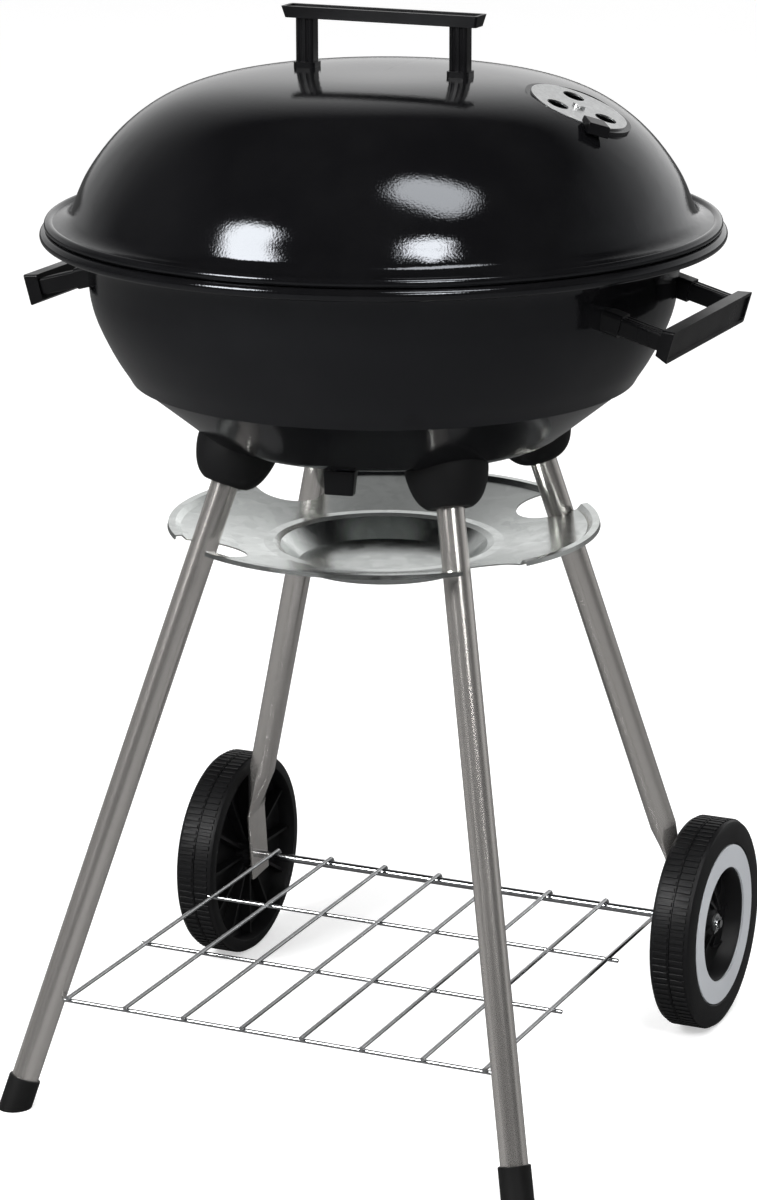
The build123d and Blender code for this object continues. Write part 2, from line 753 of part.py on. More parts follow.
# ---------------------------------------------------------------- one file per piece
pieces = {
    "bowl": bowl, "lid": lid, "lid_handle": lid_handle,
    "lid_handle_screws": lid_handle_screws, "side_handle_left": side_handle_left,
    "side_handle_right": side_handle_right, "side_handle_screws": side_handle_screws,
    "lid_damper": lid_damper, "lid_damper_grip": lid_damper_grip,
    "lid_damper_rivet": lid_damper_rivet, "bowl_damper": bowl_damper,
    "bowl_damper_grip": bowl_damper_grip, "bowl_damper_rivet": bowl_damper_rivet,
    "grate_brackets": grate_brackets, "cooking_grate": cooking_grate,
    "charcoal_grate": charcoal_grate, "front_leg_right": front_leg_right,
    "front_leg_left": front_leg_left, "rear_leg_right": rear_leg_right,
    "rear_leg_left": rear_leg_left, "leg_socket_front_right": leg_socket_front_right,
    "leg_socket_front_left": leg_socket_front_left,
    "leg_socket_rear_right": leg_socket_rear_right,
    "leg_socket_rear_left": leg_socket_rear_left, "leg_bolts": leg_bolts,
    "leg_screws": leg_screws,
    "foot_cap_right": foot_cap_right, "foot_cap_left": foot_cap_left, "ash_tray": ash_tray,
    "wire_shelf": wire_shelf, "axle": axle, "wheel_right": wheel_right,
    "wheel_left": wheel_left, "wheel_trim_right": trims["right"],
    "wheel_trim_left": trims["left"], "axle_washers": axle_washers, "axle_clips": axle_clips,
}
for name, builder in pieces.items():
    save(builder, name)
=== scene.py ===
# %% [markdown]
# # The looks of a kettle charcoal grill
# The grill's parts come from CAD, in metres, and keep their places. This script loads them, gives every
# part its finish, and remodels the parts whose fine shape the CAD leaves plain, such as the wheels.

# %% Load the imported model
import json
import math

import bmesh
import bpy
from mathutils import Matrix, Vector


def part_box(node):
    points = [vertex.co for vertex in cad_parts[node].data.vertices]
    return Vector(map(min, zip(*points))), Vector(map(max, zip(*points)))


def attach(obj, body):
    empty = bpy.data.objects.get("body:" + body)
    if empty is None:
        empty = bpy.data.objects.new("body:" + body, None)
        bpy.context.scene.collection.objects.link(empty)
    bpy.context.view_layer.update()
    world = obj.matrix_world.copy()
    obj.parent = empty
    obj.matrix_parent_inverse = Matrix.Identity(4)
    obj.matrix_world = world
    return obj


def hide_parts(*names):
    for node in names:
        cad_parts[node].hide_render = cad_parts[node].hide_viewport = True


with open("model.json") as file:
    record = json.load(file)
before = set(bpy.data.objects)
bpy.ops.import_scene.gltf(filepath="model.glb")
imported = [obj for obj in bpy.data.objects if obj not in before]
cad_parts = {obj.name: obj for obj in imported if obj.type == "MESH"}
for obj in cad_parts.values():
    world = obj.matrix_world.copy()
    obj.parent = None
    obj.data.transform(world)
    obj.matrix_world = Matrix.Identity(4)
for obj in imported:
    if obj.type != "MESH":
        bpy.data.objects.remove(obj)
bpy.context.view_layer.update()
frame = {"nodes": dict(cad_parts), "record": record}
nodes = frame["nodes"]

# %% [markdown]
# ## Materials: shared effects
# Sheet steel, plastic and rubber are never perfectly even. An effect that several finishes share is made
# once as a node group with its own inputs, and each finish sets its own values. Groups put out colours,
# masks and heights only; the shader itself stays in each material.


# %% Helpers that add nodes and wire them
def add_node(tree, kind, **settings):
    node = tree.nodes.new(kind)
    for key, value in settings.items():
        setattr(node, key, value)
    return node


def new_group(name, inputs, outputs):
    """Shader node group; inputs are (name, default), outputs are (name, socket type)."""
    group = bpy.data.node_groups.new(name, "ShaderNodeTree")
    for socket_name, default in inputs:
        kind = "NodeSocketVector" if default is None else "NodeSocketFloat"
        socket = group.interface.new_socket(socket_name, in_out="INPUT", socket_type=kind)
        if default is not None:
            socket.default_value = default
    for socket_name, kind in outputs:
        group.interface.new_socket(socket_name, in_out="OUTPUT", socket_type=kind)
    return group, group.nodes.new("NodeGroupInput"), group.nodes.new("NodeGroupOutput")


def noise(tree, vector, scale, detail=3.0, roughness=0.5):
    """Noise texture; scale may be a number or an output socket."""
    texture = add_node(tree, "ShaderNodeTexNoise")
    texture.inputs["Detail"].default_value = detail
    texture.inputs["Roughness"].default_value = roughness
    tree.links.new(vector, texture.inputs["Vector"])
    if isinstance(scale, (int, float)):
        texture.inputs["Scale"].default_value = scale
    else:
        tree.links.new(scale, texture.inputs["Scale"])
    return texture.outputs["Fac"]


def remap(tree, value, low, high, to_low, to_high):
    """Map Range; to_low and to_high may be numbers or output sockets."""
    mapper = add_node(tree, "ShaderNodeMapRange")
    tree.links.new(value, mapper.inputs["Value"])
    mapper.inputs["From Min"].default_value = low
    mapper.inputs["From Max"].default_value = high
    for name, amount in (("To Min", to_low), ("To Max", to_high)):
        if isinstance(amount, (int, float)):
            mapper.inputs[name].default_value = amount
        else:
            tree.links.new(amount, mapper.inputs[name])
    return mapper.outputs["Result"]


def combine(tree, operation, first, second):
    """Math node on two values, each a number or an output socket."""
    node = add_node(tree, "ShaderNodeMath", operation=operation)
    for slot_number, value in enumerate((first, second)):
        if isinstance(value, (int, float)):
            node.inputs[slot_number].default_value = value
        else:
            tree.links.new(value, node.inputs[slot_number])
    return node.outputs["Value"]


# %% Fired-on gloss: a faint ripple in the surface, and a roughness that wanders a little
ripple_group, g_in, g_out = new_group(
    "enamel_ripple",
    [("Vector", None), ("Ripple Scale", 700.0), ("Low Roughness", 0.05), ("High Roughness", 0.09)],
    [("Height", "NodeSocketFloat"), ("Roughness", "NodeSocketFloat")])
fine = noise(ripple_group, g_in.outputs["Vector"], g_in.outputs["Ripple Scale"], 2.0)
broad = noise(ripple_group, g_in.outputs["Vector"], 9.0, 2.0)
mixed = combine(ripple_group, "MULTIPLY_ADD", broad, 0.6)
ripple_group.links.new(fine, mixed.node.inputs[2])
ripple_group.links.new(mixed, g_out.inputs["Height"])
wander = remap(ripple_group, broad, 0.3, 0.7, g_in.outputs["Low Roughness"],
               g_in.outputs["High Roughness"])
ripple_group.links.new(wander, g_out.inputs["Roughness"])
print("group", ripple_group.name)

# %% Moulded grain: fine pits of a textured mould, with slow changes of sheen
grain_group, g_in, g_out = new_group(
    "moulded_grain",
    [("Vector", None), ("Grain Scale", 900.0), ("Low Roughness", 0.4), ("High Roughness", 0.55)],
    [("Height", "NodeSocketFloat"), ("Roughness", "NodeSocketFloat"), ("Mask", "NodeSocketFloat")])
pits = noise(grain_group, g_in.outputs["Vector"], g_in.outputs["Grain Scale"], 4.0, 0.6)
slow = noise(grain_group, g_in.outputs["Vector"], 25.0, 2.0)
grain_group.links.new(pits, g_out.inputs["Height"])
grain_group.links.new(slow, g_out.inputs["Mask"])
sheen = remap(grain_group, slow, 0.3, 0.7, g_in.outputs["Low Roughness"],
              g_in.outputs["High Roughness"])
grain_group.links.new(sheen, g_out.inputs["Roughness"])
print("group", grain_group.name)

# %% Brushed metal: noise pulled out along the brushing, which is the local Z of the Vector input
brushed_group, g_in, g_out = new_group(
    "brushed_lines",
    [("Vector", None), ("Line Scale", 1500.0), ("Stretch", 0.004), ("Low Roughness", 0.17),
     ("High Roughness", 0.27)],
    [("Height", "NodeSocketFloat"), ("Roughness", "NodeSocketFloat"), ("Mask", "NodeSocketFloat")])
stretch = add_node(brushed_group, "ShaderNodeCombineXYZ")
stretch.inputs["X"].default_value = 1.0
stretch.inputs["Y"].default_value = 1.0
brushed_group.links.new(g_in.outputs["Stretch"], stretch.inputs["Z"])
pulled = add_node(brushed_group, "ShaderNodeVectorMath", operation="MULTIPLY")
brushed_group.links.new(g_in.outputs["Vector"], pulled.inputs[0])
brushed_group.links.new(stretch.outputs["Vector"], pulled.inputs[1])
lines = noise(brushed_group, pulled.outputs["Vector"], g_in.outputs["Line Scale"], 3.0, 0.65)
streaks = noise(brushed_group, pulled.outputs["Vector"], 260.0, 2.0)
brushed_group.links.new(lines, g_out.inputs["Height"])
brushed_group.links.new(streaks, g_out.inputs["Mask"])
both = combine(brushed_group, "ADD", lines, streaks)
uneven = remap(brushed_group, both, 0.7, 1.3, g_in.outputs["Low Roughness"],
               g_in.outputs["High Roughness"])
brushed_group.links.new(uneven, g_out.inputs["Roughness"])
print("group", brushed_group.name)

# %% Spangle: the crystal patches of a zinc coat, as cells with their own brightness
spangle_group, g_in, g_out = new_group(
    "zinc_spangle",
    [("Vector", None), ("Cell Scale", 90.0), ("Low Roughness", 0.3), ("High Roughness", 0.5)],
    [("Mask", "NodeSocketFloat"), ("Roughness", "NodeSocketFloat"), ("Height", "NodeSocketFloat")])
warp = add_node(spangle_group, "ShaderNodeTexNoise")
warp.inputs["Scale"].default_value = 60.0
spangle_group.links.new(g_in.outputs["Vector"], warp.inputs["Vector"])
shift = add_node(spangle_group, "ShaderNodeVectorMath", operation="MULTIPLY_ADD")
shift.inputs[1].default_value = (0.012, 0.012, 0.012)
spangle_group.links.new(warp.outputs["Color"], shift.inputs[0])
spangle_group.links.new(g_in.outputs["Vector"], shift.inputs[2])
cells = add_node(spangle_group, "ShaderNodeTexVoronoi")
spangle_group.links.new(shift.outputs["Vector"], cells.inputs["Vector"])
spangle_group.links.new(g_in.outputs["Cell Scale"], cells.inputs["Scale"])
tone = add_node(spangle_group, "ShaderNodeSeparateColor")
spangle_group.links.new(cells.outputs["Color"], tone.inputs["Color"])
speckle = noise(spangle_group, g_in.outputs["Vector"], 1400.0, 2.0)
spangle_group.links.new(tone.outputs["Red"], g_out.inputs["Mask"])
spangle_group.links.new(speckle, g_out.inputs["Height"])
dull = remap(spangle_group, tone.outputs["Green"], 0.0, 1.0, g_in.outputs["Low Roughness"],
             g_in.outputs["High Roughness"])
spangle_group.links.new(dull, g_out.inputs["Roughness"])
print("group", spangle_group.name)

# %% Light dust: a faint pale film in patches, used on the black parts
dust_group, g_in, g_out = new_group(
    "light_dust", [("Vector", None), ("Amount", 0.04)], [("Mask", "NodeSocketFloat")])
patches = noise(dust_group, g_in.outputs["Vector"], 14.0, 5.0, 0.6)
specks = noise(dust_group, g_in.outputs["Vector"], 700.0, 2.0)
film = remap(dust_group, patches, 0.45, 0.8, 0.0, 1.0)
spots = remap(dust_group, specks, 0.66, 0.72, 0.0, 0.6)
layer = combine(dust_group, "ADD", film, spots)
limited = combine(dust_group, "MULTIPLY", layer, g_in.outputs["Amount"])
dust_group.links.new(limited, g_out.inputs["Mask"])
print("group", dust_group.name)

# %% [markdown]
# ## Materials: the finishes
# Each finish starts from one helper that makes a Principled shader with its plain numbers, reads Object
# coordinates and mixes two close tones by a mask, so that no surface is a single flat colour.


# %% Helpers that start a finish and join an effect to it
def start_finish(name, metallic=0.0, ior=1.5, turn=None):
    """New material; turn is a rotation that lays the part's long axis on the pattern's Z."""
    material = bpy.data.materials.new(name)
    material.use_nodes = True
    tree = material.node_tree
    shader = tree.nodes["Principled BSDF"]
    shader.inputs["Metallic"].default_value = metallic
    shader.inputs["IOR"].default_value = ior
    place = add_node(tree, "ShaderNodeTexCoord").outputs["Object"]
    if turn is not None:
        mapping = add_node(tree, "ShaderNodeMapping")
        mapping.inputs["Rotation"].default_value = turn.to_euler()
        tree.links.new(place, mapping.inputs["Vector"])
        place = mapping.outputs["Vector"]
    return material, tree, shader, place


def use_group(tree, group, place, **values):
    node = add_node(tree, "ShaderNodeGroup", node_tree=group)
    tree.links.new(place, node.inputs["Vector"])
    for key, value in values.items():
        node.inputs[key.replace("_", " ")].default_value = value
    return node


def two_tones(tree, shader, mask, dark, light):
    mix = add_node(tree, "ShaderNodeMix", data_type="RGBA")
    tree.links.new(mask, mix.inputs["Factor"])
    mix.inputs["A"].default_value = (*dark, 1.0)
    mix.inputs["B"].default_value = (*light, 1.0)
    tree.links.new(mix.outputs["Result"], shader.inputs["Base Color"])


def add_bump(tree, shader, height, strength, distance):
    bump = add_node(tree, "ShaderNodeBump")
    bump.inputs["Strength"].default_value = strength
    bump.inputs["Distance"].default_value = distance
    tree.links.new(height, bump.inputs["Height"])
    tree.links.new(bump.outputs["Normal"], shader.inputs["Normal"])


# %% Porcelain enamel of the lid and the bowl
def enamel_finish():
    material, tree, shader, place = start_finish("enamel_black", ior=1.46)
    shader.inputs["Specular Tint"].default_value = (0.90, 0.94, 1.0, 1.0)
    ripple = use_group(tree, ripple_group, place)
    dust = use_group(tree, dust_group, place, Amount=0.012)
    two_tones(tree, shader, dust.outputs["Mask"], (0.0035, 0.0035, 0.004), (0.2, 0.2, 0.2))
    tree.links.new(ripple.outputs["Roughness"], shader.inputs["Roughness"])
    add_bump(tree, shader, ripple.outputs["Height"], 0.06, 0.001)
    return material


enamel = enamel_finish()


# %% Black plastics and rubber, from the same grain with other numbers
def moulded_finish(name, dark, light, grain_scale, low, high, strength, dust_amount):
    material, tree, shader, place = start_finish(name)
    shader.inputs["Specular IOR Level"].default_value = 0.3
    grain = use_group(tree, grain_group, place, Grain_Scale=grain_scale, Low_Roughness=low,
                      High_Roughness=high)
    dust = use_group(tree, dust_group, place, Amount=dust_amount)
    blend = combine(tree, "MULTIPLY_ADD", grain.outputs["Mask"], 0.5)
    tree.links.new(dust.outputs["Mask"], blend.node.inputs[2])
    two_tones(tree, shader, blend, dark, light)
    tree.links.new(grain.outputs["Roughness"], shader.inputs["Roughness"])
    add_bump(tree, shader, grain.outputs["Height"], strength, 0.0004)
    return material


handle_black = moulded_finish("handle_black", (0.0025, 0.0025, 0.003), (0.007, 0.007, 0.008),
                              1300.0, 0.26, 0.36, 0.12, 0.02)
socket_black = moulded_finish("socket_black", (0.0025, 0.0025, 0.003), (0.007, 0.007, 0.008),
                              1500.0, 0.55, 0.7, 0.35, 0.03)
wheel_black = moulded_finish("wheel_black", (0.003, 0.003, 0.0035), (0.009, 0.009, 0.010),
                             1400.0, 0.42, 0.56, 0.2, 0.04)
foot_rubber = moulded_finish("foot_rubber", (0.003, 0.003, 0.003), (0.009, 0.009, 0.009),
                             1200.0, 0.45, 0.6, 0.25, 0.03)


# %% Brushed stainless tube: the pattern is turned so that its lines run along the leg
def tube_finish(name, direction):
    turn = direction.rotation_difference(Vector((0, 0, 1)))
    material, tree, shader, place = start_finish(name, metallic=0.9, turn=turn)
    brushed = use_group(tree, brushed_group, place)
    two_tones(tree, shader, brushed.outputs["Mask"], (0.66, 0.63, 0.60), (0.86, 0.83, 0.80))
    tree.links.new(brushed.outputs["Roughness"], shader.inputs["Roughness"])
    add_bump(tree, shader, brushed.outputs["Height"], 0.08, 0.0002)
    return material


# %% Galvanized sheet of the ash tray, and the plain zinc of the dampers and small fixings
def zinc_finish(name, dark, light, cell_scale, low, high, strength):
    material, tree, shader, place = start_finish(name, metallic=1.0)
    spangle = use_group(tree, spangle_group, place, Cell_Scale=cell_scale, Low_Roughness=low,
                        High_Roughness=high)
    two_tones(tree, shader, spangle.outputs["Mask"], dark, light)
    tree.links.new(spangle.outputs["Roughness"], shader.inputs["Roughness"])
    add_bump(tree, shader, spangle.outputs["Height"], strength, 0.0002)
    return material


galvanized = zinc_finish("steel_galvanized", (0.74, 0.77, 0.755), (0.82, 0.85, 0.835), 130.0,
                         0.20, 0.27, 0.04)
zinc = zinc_finish("steel_zinc", (0.76, 0.77, 0.77), (0.88, 0.89, 0.89), 500.0, 0.28, 0.36, 0.2)
plated = zinc_finish("wire_plated", (0.50, 0.51, 0.52), (0.62, 0.63, 0.64), 260.0, 0.12, 0.22, 0.05)


# %% Silver ring of the wheels, a satin foil with a faint grain
def trim_finish():
    material, tree, shader, place = start_finish("trim_silver", metallic=0.2)
    grain = use_group(tree, grain_group, place, Grain_Scale=1100.0, Low_Roughness=0.38,
                      High_Roughness=0.5)
    two_tones(tree, shader, grain.outputs["Mask"], (0.54, 0.56, 0.59), (0.61, 0.63, 0.66))
    tree.links.new(grain.outputs["Roughness"], shader.inputs["Roughness"])
    add_bump(tree, shader, grain.outputs["Height"], 0.1, 0.0002)
    return material


trim_silver = trim_finish()

# %% [markdown]
# ## Giving the CAD parts their finish
# The record names a material slot for each node, so one table from slot to finish covers them all. The
# legs are the exception: each gets its own brushed finish, because its lines follow its own axis.

# %% Finish of every CAD node
finishes = {
    "enamel_black": enamel, "handle_black": handle_black, "steel_zinc": zinc,
    "steel_galvanized": galvanized, "wire_plated": plated, "socket_black": socket_black,
    "foot_rubber": foot_rubber, "wheel_black": wheel_black, "trim_silver": trim_silver,
}
leg_nodes = ("front_leg_left", "front_leg_right", "rear_leg_left", "rear_leg_right")
tube_across = 0.018
rear_lean = 0.8


def give_finish(thing, material):
    thing.data.materials.clear()
    thing.data.materials.append(material)
    for face in thing.data.polygons:
        face.material_index = 0


def leg_direction(name):
    """Unit vector up a leg, from the box that its node fills."""
    low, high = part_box(name)
    side = 1 if low.x + high.x > 0 else -1
    front = 1 if low.y + high.y < 0 else -1
    width, depth, height = high - low
    if front == 1:
        rise = Vector((-side * (width - tube_across), depth - tube_across, height))
    else:
        rise = Vector((-side * width, -rear_lean * depth, height))
    return rise.normalized()


slot_of = {part["node"]: part["material_slot"] for part in frame["record"]["subparts"]}
for node_name, part in nodes.items():
    if node_name in leg_nodes:
        give_finish(part, tube_finish("steel_" + node_name, leg_direction(node_name)))
    else:
        give_finish(part, finishes[slot_of[node_name]])
print("finished", len(nodes), "CAD nodes")

# %% [markdown]
# ## Wheels
# The wheels are moulded plastic: a ribbed tread in two rows with a fine mould line between them, smooth
# side walls, and a dished web with swirled ridges round the hub. The round body is one profile spun
# about the axle, and the tread ribs are small bevelled blocks set round it.

# %% Wheel sizes, read from the CAD node
wheel_low, wheel_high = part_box("wheel_right")
wheel_centre = (wheel_low + wheel_high) / 2
wheel_radius = (wheel_high.z - wheel_low.z) / 2
wheel_width = wheel_high.x - wheel_low.x
trim_low, trim_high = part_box("wheel_trim_right")
ring_outer = (trim_high.z - trim_low.z) / 2
MM = 0.001
axle_bore = 3.05 * MM
tread_rib_count = 92
tread_rib_height = 0.9 * MM
swirled_ridge_count = 8
ridge_length = 27.5 * MM
ridge_middle = 24.0 * MM
inner_rib_count = 12
inner_rib_size = (9.0 * MM, 2.2 * MM, 54.0 * MM)
print("wheel radius", round(wheel_radius, 4), "width", round(wheel_width, 4))


# %% Helpers: finish a bmesh as a piece, and spin an outline or a round section into a closed body
def make_piece(name, mesh_builder, material, body, replaced=(), smooth_angle=35.0):
    mesh = bpy.data.meshes.new(name)
    mesh_builder.to_mesh(mesh)
    mesh_builder.free()
    thing = bpy.data.objects.new(name, mesh)
    bpy.context.scene.collection.objects.link(thing)
    thing.data.materials.append(material)
    mesh.shade_smooth()
    mesh.set_sharp_from_angle(angle=math.radians(smooth_angle))
    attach(thing, body)
    if replaced:
        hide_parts(*replaced)
    print(name, len(mesh.polygons), "faces")


def close_body(builder):
    bmesh.ops.remove_doubles(builder, verts=builder.verts, dist=1e-6)
    bmesh.ops.recalc_face_normals(builder, faces=builder.faces)


def turn_by(builder, verts, angle, axis):
    bmesh.ops.rotate(builder, cent=(0, 0, 0), matrix=Matrix.Rotation(angle, 3, axis), verts=verts)


def spin_profile(builder, outline, steps):
    """Closed outline of (along the axle, radius) points, turned about the X axis."""
    verts = [builder.verts.new((along, 0, radius)) for along, radius in outline]
    edges = [builder.edges.new((verts[k - 1], verts[k])) for k in range(len(verts))]
    bmesh.ops.spin(builder, geom=verts + edges, cent=(0, 0, 0), axis=(1, 0, 0), dvec=(0, 0, 0),
                   angle=math.tau, steps=steps, use_merge=True, use_duplicate=False)
    close_body(builder)


def spin_ring(builder, ring_radius, height, wire_radius, segments, steps):
    """Ring of round section, turned about the Z axis."""
    section = bmesh.ops.create_circle(builder, segments=segments, radius=wire_radius)["verts"]
    turn_by(builder, section, math.pi / 2, "X")
    bmesh.ops.translate(builder, vec=(ring_radius, 0, height), verts=section)
    outline = section + list({edge for vert in section for edge in vert.link_edges})
    bmesh.ops.spin(builder, geom=outline, cent=(0, 0, 0), axis=(0, 0, 1), dvec=(0, 0, 0),
                   angle=math.tau, steps=steps, use_merge=True, use_duplicate=False)


# %% One wheel body, with its axle bore, built round the origin and facing +X
def wheel_body(builder):
    half = wheel_width / 2
    tread = wheel_radius - tread_rib_height
    outline = [
        (-half, 68.0 * MM), (-half, tread - 3.0 * MM), (-half + 1.2 * MM, tread - 0.8 * MM),
        (-half + 3.2 * MM, tread), (-0.5 * MM, tread), (-0.25 * MM, tread + 0.9 * MM),
        (0.25 * MM, tread + 0.9 * MM), (0.5 * MM, tread), (half - 3.2 * MM, tread),
        (half - 1.2 * MM, tread - 0.8 * MM), (half, tread - 3.0 * MM),
        (half, ring_outer + 1.5 * MM), (half - 1.5 * MM, ring_outer + 0.1 * MM),
        (half - 1.5 * MM, 41.0 * MM), (half - 3.0 * MM, 40.0 * MM),
        (half - 13.0 * MM, 37.5 * MM), (half - 14.6 * MM, 33.0 * MM),
        (half - 12.6 * MM, 18.0 * MM), (half - 8.4 * MM, 9.5 * MM), (half - 7.6 * MM, 8.0 * MM),
        (half - 7.6 * MM, axle_bore), (-half, axle_bore), (-half, 10.0 * MM), (-half + 12.0 * MM, 12.0 * MM),
        (-half + 13.0 * MM, 36.0 * MM), (-half + 14.4 * MM, 60.0 * MM),
        (-half + 12.0 * MM, 66.0 * MM), (-half + 2.0 * MM, 67.0 * MM),
    ]
    spin_profile(builder, outline, 96)


# %% Tread ribs: a bevelled block, copied round the wheel in two rows
def tread_ribs(builder):
    long = wheel_width / 2 - 4.6 * MM
    step = math.tau / tread_rib_count
    wide = 0.56 * step * wheel_radius
    rise = wheel_radius - 1.2 * tread_rib_height
    for row in (-1, 1):
        for k in range(tread_rib_count):
            block = bmesh.ops.create_cube(builder, size=1.0)["verts"]
            bmesh.ops.scale(builder, vec=(long, wide, 2.4 * tread_rib_height), verts=block)
            edges = list({edge for vert in block for edge in vert.link_edges
                          if all(end.co.z > 0 for end in edge.verts)})
            made = bmesh.ops.bevel(builder, geom=edges, offset=0.25 * MM, offset_type="OFFSET",
                                   affect="EDGES", segments=1, profile=0.5, material=-1)
            block = list({vert for vert in block if vert.is_valid} | set(made["verts"]))
            bmesh.ops.translate(builder, vec=(row * (long / 2 + 0.9 * MM), 0, rise), verts=block)
            turn_by(builder, block, k * step, "X")


# %% Ridges: swirled on the outside of the web, straight and radial on the inside
def swirled_ridge(builder, start_angle):
    ridge = bmesh.ops.create_grid(builder, x_segments=8, y_segments=1, size=0.5)["verts"]
    bmesh.ops.scale(builder, vec=(ridge_length, 2.4 * MM, 1), verts=ridge)
    bmesh.ops.translate(builder, vec=(ridge_middle, 0, 0), verts=ridge)
    faces = list({face for vert in ridge for face in vert.link_faces})
    made = bmesh.ops.extrude_face_region(builder, geom=faces)["geom"]
    raised = [item for item in made if isinstance(item, bmesh.types.BMVert)]
    bmesh.ops.translate(builder, vec=(0, 0, 3.0 * MM), verts=raised)
    for vert in set(ridge) | set(raised):
        radius, across, height = vert.co
        swirl = start_angle + 0.85 * (radius - 10 * MM) / (28 * MM)
        sink = 14.8 * MM - 6.5 * MM * max(0.0, 1 - (radius - 8 * MM) / (16 * MM))
        flat = Matrix.Rotation(swirl, 2) @ Vector((radius, across))
        vert.co = (wheel_width / 2 - sink + height, flat.x, flat.y)


def web_ridges(builder):
    for k in range(swirled_ridge_count):
        swirled_ridge(builder, k * math.tau / swirled_ridge_count)
    for k in range(inner_rib_count):
        rib = bmesh.ops.create_cube(builder, size=1.0)["verts"]
        bmesh.ops.scale(builder, vec=inner_rib_size, verts=rib)
        bmesh.ops.translate(builder, vec=(9.6 * MM - wheel_width / 2, 0, 38.8 * MM), verts=rib)
        turn_by(builder, rib, k * math.tau / inner_rib_count, "X")
    bmesh.ops.recalc_face_normals(builder, faces=builder.faces)


# %% Both wheels; the left one is the right one mirrored
def make_wheel(side, side_name):
    builder = bmesh.new()
    wheel_body(builder)
    tread_ribs(builder)
    web_ridges(builder)
    bmesh.ops.scale(builder, vec=(side, 1, 1), verts=builder.verts)
    place = Vector((side * wheel_centre.x, wheel_centre.y, wheel_centre.z))
    bmesh.ops.translate(builder, vec=place, verts=builder.verts)
    bmesh.ops.recalc_face_normals(builder, faces=builder.faces)
    node = "wheel_" + side_name
    make_piece("ribbed_wheel_" + side_name, builder, wheel_black, node,
               replaced=[node])


make_wheel(1, "right")
make_wheel(-1, "left")

# %% [markdown]
# ## Rolled edges
# The lid's edge and the bowl's rim are rolled over into round beads. A lamp draws a thin bright line along
# a bead, and the line only stays clean on a finely divided surface, so each bead gets a smooth skin.

# %% A skin over each rolled edge, a hair larger than the CAD bead under it
skin = 0.06 * MM
lid_low, lid_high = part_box("lid")
bowl_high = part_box("bowl")[1]


def edge_bead(name, centre_radius, centre_height, bead_radius, body):
    builder = bmesh.new()
    spin_ring(builder, centre_radius, centre_height, bead_radius + skin, 28, 240)
    close_body(builder)
    make_piece(name, builder, enamel, body)


lid_bead = 3.4 * MM
rim_bead = 4.0 * MM
edge_bead("lid_edge_skin", lid_high.x - lid_bead, lid_low.z + lid_bead, lid_bead, "lid")
edge_bead("bowl_rim_skin", bowl_high.x - rim_bead, bowl_high.z - rim_bead, rim_bead, "frame")
print("outer radius of lid", round(lid_high.x, 4), "and of bowl", round(bowl_high.x, 4))

# %% [markdown]
# ## Split pins
# A bright split pin through each end of the axle keeps the wheel on. Its eye is a small ring of wire.

# %% Split pins in place of the plain clips
eye_radius = 4.2 * MM
eye_wire = 0.75 * MM
pin_radius = 0.7 * MM
pin_length = 13.0 * MM
pin_lean = 0.5


def make_pins():
    builder = bmesh.new()
    low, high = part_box("axle_clips")
    centre = Vector((0, (low.y + high.y) / 2, (low.z + high.z) / 2))
    for side in (-1, 1):
        axle_end = side * (high.x - 1.0 * MM)
        before = set(builder.verts)
        spin_ring(builder, eye_radius, 0, eye_wire, 10, 32)
        along = Matrix.Translation((0, -2.0 * MM, 0)) @ Matrix.Rotation(math.pi / 2, 4, "X")
        bmesh.ops.create_cone(builder, cap_ends=True, segments=12, radius1=pin_radius,
                              radius2=pin_radius, depth=pin_length, matrix=along)
        pin = [vert for vert in builder.verts if vert not in before]
        bmesh.ops.scale(builder, vec=(0.8, 1.25, 1.0), verts=pin)
        turn_by(builder, pin, math.pi / 2, "Y")
        turn_by(builder, pin, pin_lean, "X")
        bmesh.ops.translate(builder, vec=centre + Vector((axle_end, 0, 0)), verts=pin)
    close_body(builder)
    make_piece("split_pins", builder, plated, "frame", replaced=["axle_clips"])


make_pins()

# %% [markdown]
# ## Studio
# A black gloss surface shows only what it reflects, so the room matters as much as the lamps. The room is
# white behind the grill and dim in front of it, two soft boxes and an overhead lamp make the bright
# shapes on the lid, and a large pale floor lights the bowl from below.

# %% Pale floor; in reflections it counts as a darker floor, so that the black enamel stays black
floor_in_reflections = 0.15


def make_floor():
    builder = bmesh.new()
    bmesh.ops.create_grid(builder, x_segments=1, y_segments=1, size=30.0)
    mesh = bpy.data.meshes.new("studio_floor")
    builder.to_mesh(mesh)
    builder.free()
    floor = bpy.data.objects.new("studio_floor", mesh)
    bpy.context.scene.collection.objects.link(floor)
    material, tree, shader, place = start_finish("floor_pale")
    patch = noise(tree, place, 2.0)
    path = add_node(tree, "ShaderNodeLightPath")
    tone = remap(tree, patch, 0.0, 1.0, 0.87, 0.90)
    shade = remap(tree, path.outputs["Is Glossy Ray"], 0.0, 1.0, tone, floor_in_reflections)
    tree.links.new(shade, shader.inputs["Base Color"])
    lift = combine(tree, "MULTIPLY", path.outputs["Is Camera Ray"], 0.45)
    tree.links.new(lift, shader.inputs["Emission Strength"])
    shader.inputs["Emission Color"].default_value = (1.0, 1.0, 1.0, 1.0)
    shader.inputs["Roughness"].default_value = 0.9
    mesh.materials.append(material)


make_floor()

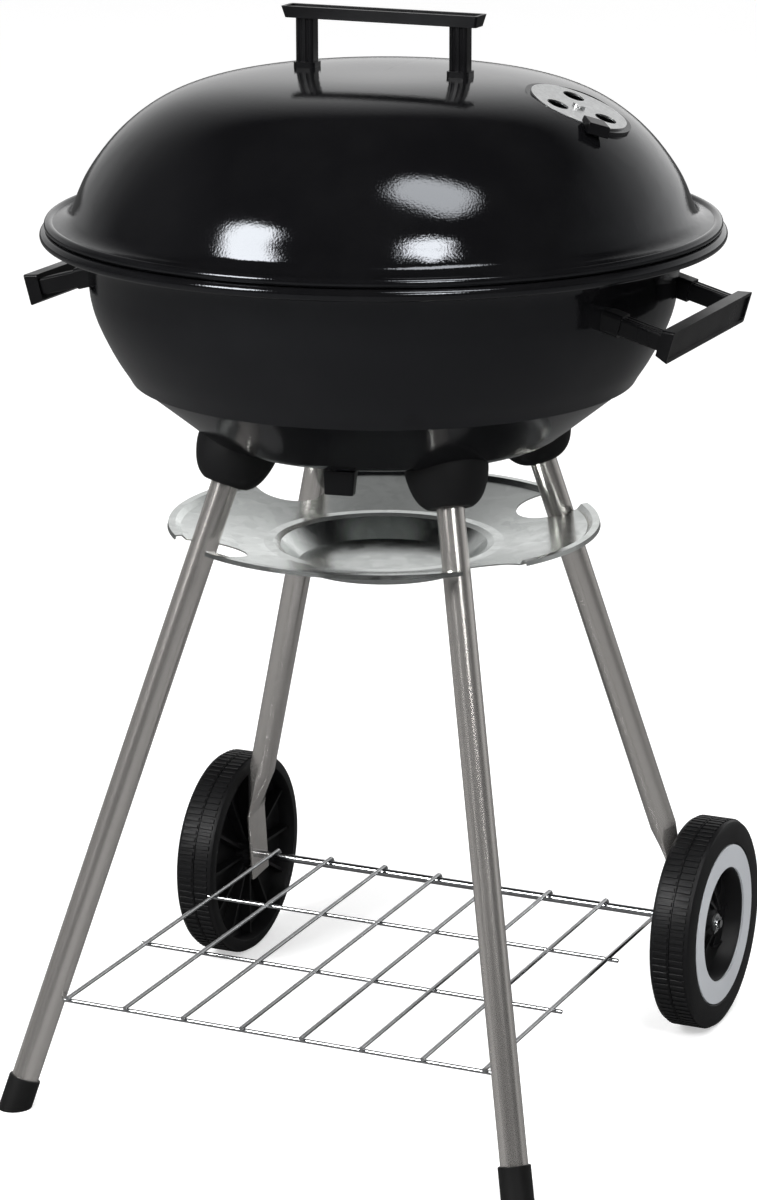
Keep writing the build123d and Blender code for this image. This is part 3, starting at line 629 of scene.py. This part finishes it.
# %% Room light: white for the view, an even soft light on matt surfaces, a dim room in reflections
world = bpy.data.worlds.new("studio_room")
bpy.context.scene.world = world
world.use_nodes = True
room = world.node_tree
room.nodes.clear()
direction = add_node(room, "ShaderNodeTexCoord").outputs["Generated"]
parts = add_node(room, "ShaderNodeSeparateXYZ")
room.links.new(direction, parts.inputs["Vector"])
behind = remap(room, parts.outputs["Y"], 0.05, 0.5, 0.0, 1.05)
low_down = remap(room, parts.outputs["Z"], 0.2, 0.7, 1.0, 0.0)
sideways = combine(room, "MULTIPLY", parts.outputs["X"], parts.outputs["X"])
middle = remap(room, sideways, 0.05, 0.6, 1.0, 0.35)
back_wall = combine(room, "MULTIPLY", behind, low_down)
wall = combine(room, "MULTIPLY", back_wall, middle)
left_panel = remap(room, parts.outputs["X"], -0.6, -0.8, 0.0, 0.08)
side_light = combine(room, "ADD", wall, left_panel)
reflected = combine(room, "ADD", side_light, 0.012)
path = add_node(room, "ShaderNodeLightPath")
seen = remap(room, path.outputs["Is Diffuse Ray"], 0.0, 1.0, reflected, 0.6)
strength = remap(room, path.outputs["Is Camera Ray"], 0.0, 1.0, seen, 1.0)
glow = add_node(room, "ShaderNodeBackground")
room.links.new(strength, glow.inputs["Strength"])
glow.inputs["Color"].default_value = (1.0, 1.0, 1.0, 1.0)
surface = add_node(room, "ShaderNodeOutputWorld")
room.links.new(glow.outputs["Background"], surface.inputs["Surface"])
print("room made")


# %% Soft boxes: each stands off from the point that it is aimed at; wide is the way its width runs.
# A lamp is a glowing panel that dims towards its edge; the higher its corner, the squarer its outline.
def soft_box(name, toward, distance, wide, width, height, glow_strength, corner, aim):
    builder = bmesh.new()
    bmesh.ops.create_grid(builder, x_segments=1, y_segments=1, size=0.5)
    bmesh.ops.scale(builder, vec=(width, height, 1), verts=builder.verts)
    mesh = bpy.data.meshes.new(name)
    builder.to_mesh(mesh)
    builder.free()
    material = bpy.data.materials.new(name)
    material.use_nodes = True
    tree = material.node_tree
    tree.nodes.clear()
    split = add_node(tree, "ShaderNodeSeparateXYZ")
    tree.links.new(add_node(tree, "ShaderNodeTexCoord").outputs["Object"], split.inputs["Vector"])
    reach = 0.0
    for side, length in (("X", width), ("Y", height)):
        share = combine(tree, "MULTIPLY", split.outputs[side], 2 / length)
        share = combine(tree, "POWER", combine(tree, "ABSOLUTE", share, 0.0), corner)
        reach = combine(tree, "ADD", share, reach)
    fade = remap(tree, reach, 0.35, 1.0, glow_strength, 0.0)
    emission = add_node(tree, "ShaderNodeEmission")
    tree.links.new(fade, emission.inputs["Strength"])
    output = add_node(tree, "ShaderNodeOutputMaterial")
    tree.links.new(emission.outputs["Emission"], output.inputs["Surface"])
    mesh.materials.append(material)
    lamp = bpy.data.objects.new(name, mesh)
    bpy.context.scene.collection.objects.link(lamp)
    back = Vector(toward).normalized()
    along = Vector(wide)
    along = (along - back * along.dot(back)).normalized()
    turned = Matrix((along, back.cross(along), back)).transposed().to_4x4()
    lamp.matrix_world = Matrix.Translation(Vector(aim) + back * distance) @ turned
    lamp.visible_camera = False


soft_box("box_left", (-0.44, -0.76, 0.53), 2.6, (1, -0.55, 0), 1.0, 1.15, 26.0, 3.0,
         (-0.02, -0.2, 0.63))
soft_box("box_top", (0.35, -0.20, 0.91), 2.4, (0.39, 0.05, -0.14), 1.2, 0.85, 11.0, 3.0,
         (0.1, -0.16, 0.66))
soft_box("box_right", (0.57, -0.62, 0.55), 2.8, (1, 0.9, 0), 1.0, 0.62, 26.0, 2.0,
         (0.11, -0.18, 0.625))

# %% Camera: a long lens, a little above the grill and to its right
camera_data = bpy.data.cameras.new("camera")
camera = bpy.data.objects.new("camera", camera_data)
bpy.context.scene.collection.objects.link(camera)
bpy.context.scene.camera = camera
camera_data.sensor_width = 36.0
camera_data.lens = 121.26
camera_data.shift_x = 0.0104
camera_data.shift_y = -0.0031
camera_data.clip_end = 100.0
look = Vector((-0.40435, 0.87394, -0.26969))
roll = Matrix.Rotation(math.radians(-0.17), 4, "Z")
upright = look.to_track_quat("-Z", "Y").to_matrix().to_4x4()
camera.matrix_world = Matrix.Translation((1.13613, -2.48573, 1.10543)) @ upright @ roll
bpy.context.scene.view_settings.view_transform = "Standard"
print("camera at", camera.location)
